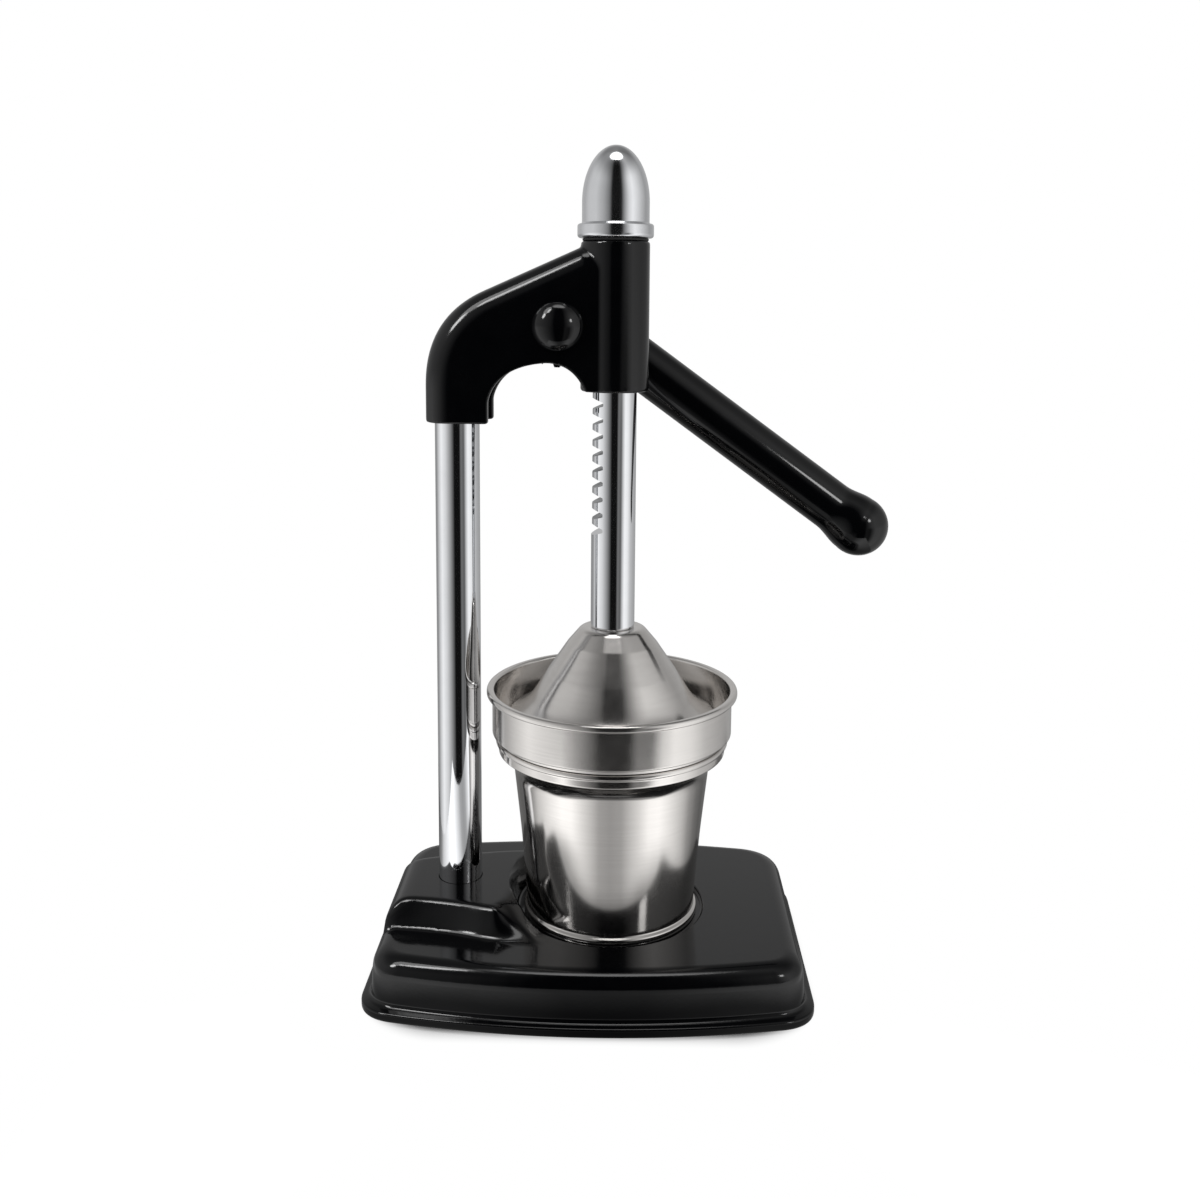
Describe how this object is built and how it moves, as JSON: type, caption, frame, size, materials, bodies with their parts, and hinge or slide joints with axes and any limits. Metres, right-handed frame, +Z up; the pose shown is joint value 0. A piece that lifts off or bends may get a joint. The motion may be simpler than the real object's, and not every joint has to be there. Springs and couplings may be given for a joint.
{
  "type": "lever citrus juice press",
  "caption": "Bench citrus press: a lever and pinion drive a toothed rod and steel bell down over a reamer in a bowl on a cup; enamelled base, post and head.",
  "frame": {"origin": "on the table, below the middle of the whole press's outline in plan, lever included; the press axis (rod, bell, bowl and cup) stands at x = -0.0117, y = -0.0018", "axes": "+Z up along the rod and the post, +X towards the side that the lever points to at rest, -Y towards the user, who sees the dome on the head"},
  "size_m": [0.2528, 0.1564, 0.3979],
  "materials": {
    "enamel": "gloss black enamel",
    "chrome": "polished chrome plate",
    "brushed_stainless": "stainless steel brushed around the axis",
    "steel": "machined steel, lightly oiled",
    "zinc": "zinc plated",
    "rubber": "matt black rubber",
    "black_plastic": "gloss black",
    "bronze": "plain sintered bronze"
  },
  "bodies": {
    "frame": {"base_casting": "enamel", "foot_front_left": "rubber", "foot_front_right": "rubber", "foot_back_left": "rubber", "foot_back_right": "rubber", "foot_screw_front_left": "zinc", "foot_screw_front_right": "zinc", "foot_screw_back_left": "zinc", "foot_screw_back_right": "zinc", "post_tube": "chrome", "post_plug": "steel", "post_washer": "zinc", "post_bolt": "zinc", "head_casting": "enamel", "head_set_screw": "steel", "guide_lower": "bronze", "guide_upper": "bronze", "shaft_bush_front": "bronze", "shaft_bush_back": "bronze", "shaft_dome_cap": "black_plastic"},
    "lever": {"lever_hub": "enamel", "lever_core": "steel", "lever_grip": "black_plastic", "lever_washer": "zinc", "lever_nut": "zinc", "pinion_gear": "steel", "pinion_key": "steel", "pinion_shaft": "steel"},
    "rack": {"rack_rod": "chrome", "rack_cap": "chrome", "cap_bumper": "rubber", "presser_bell": "brushed_stainless", "presser_washer": "zinc", "presser_nut": "zinc"},
    "cup": {"juice_cup": "brushed_stainless"},
    "bowl": {"funnel_bowl": "brushed_stainless"},
    "reamer": {"reamer_strainer": "brushed_stainless"}
  },
  "joints": [
    {"name": "lever_hinge", "type": "hinge", "parent": "frame", "child": "lever", "pos_m": [-0.03788, 0, 0.3144], "axis": [0, -1, 0], "range_deg": [0, 190]},
    {"name": "rack_slide", "type": "slide", "parent": "frame", "child": "rack", "axis": [0, 0, 1], "range_m": [0, 0.06]},
    {"name": "cup_lift", "type": "slide", "parent": "frame", "child": "cup", "axis": [0, 0, 1], "range_m": [0, 0.0026]},
    {"name": "bowl_lift", "type": "slide", "parent": "cup", "child": "bowl", "axis": [0, 0, 1], "range_m": [0, 0.0014]},
    {"name": "reamer_lift", "type": "slide", "parent": "bowl", "child": "reamer", "axis": [0, 0, 1], "range_m": [0, 0.0014]}
  ],
  "couplings": [
    {"joint": "rack_slide", "follows": "lever_hinge", "m_per_rad": 0.018}
  ]
}
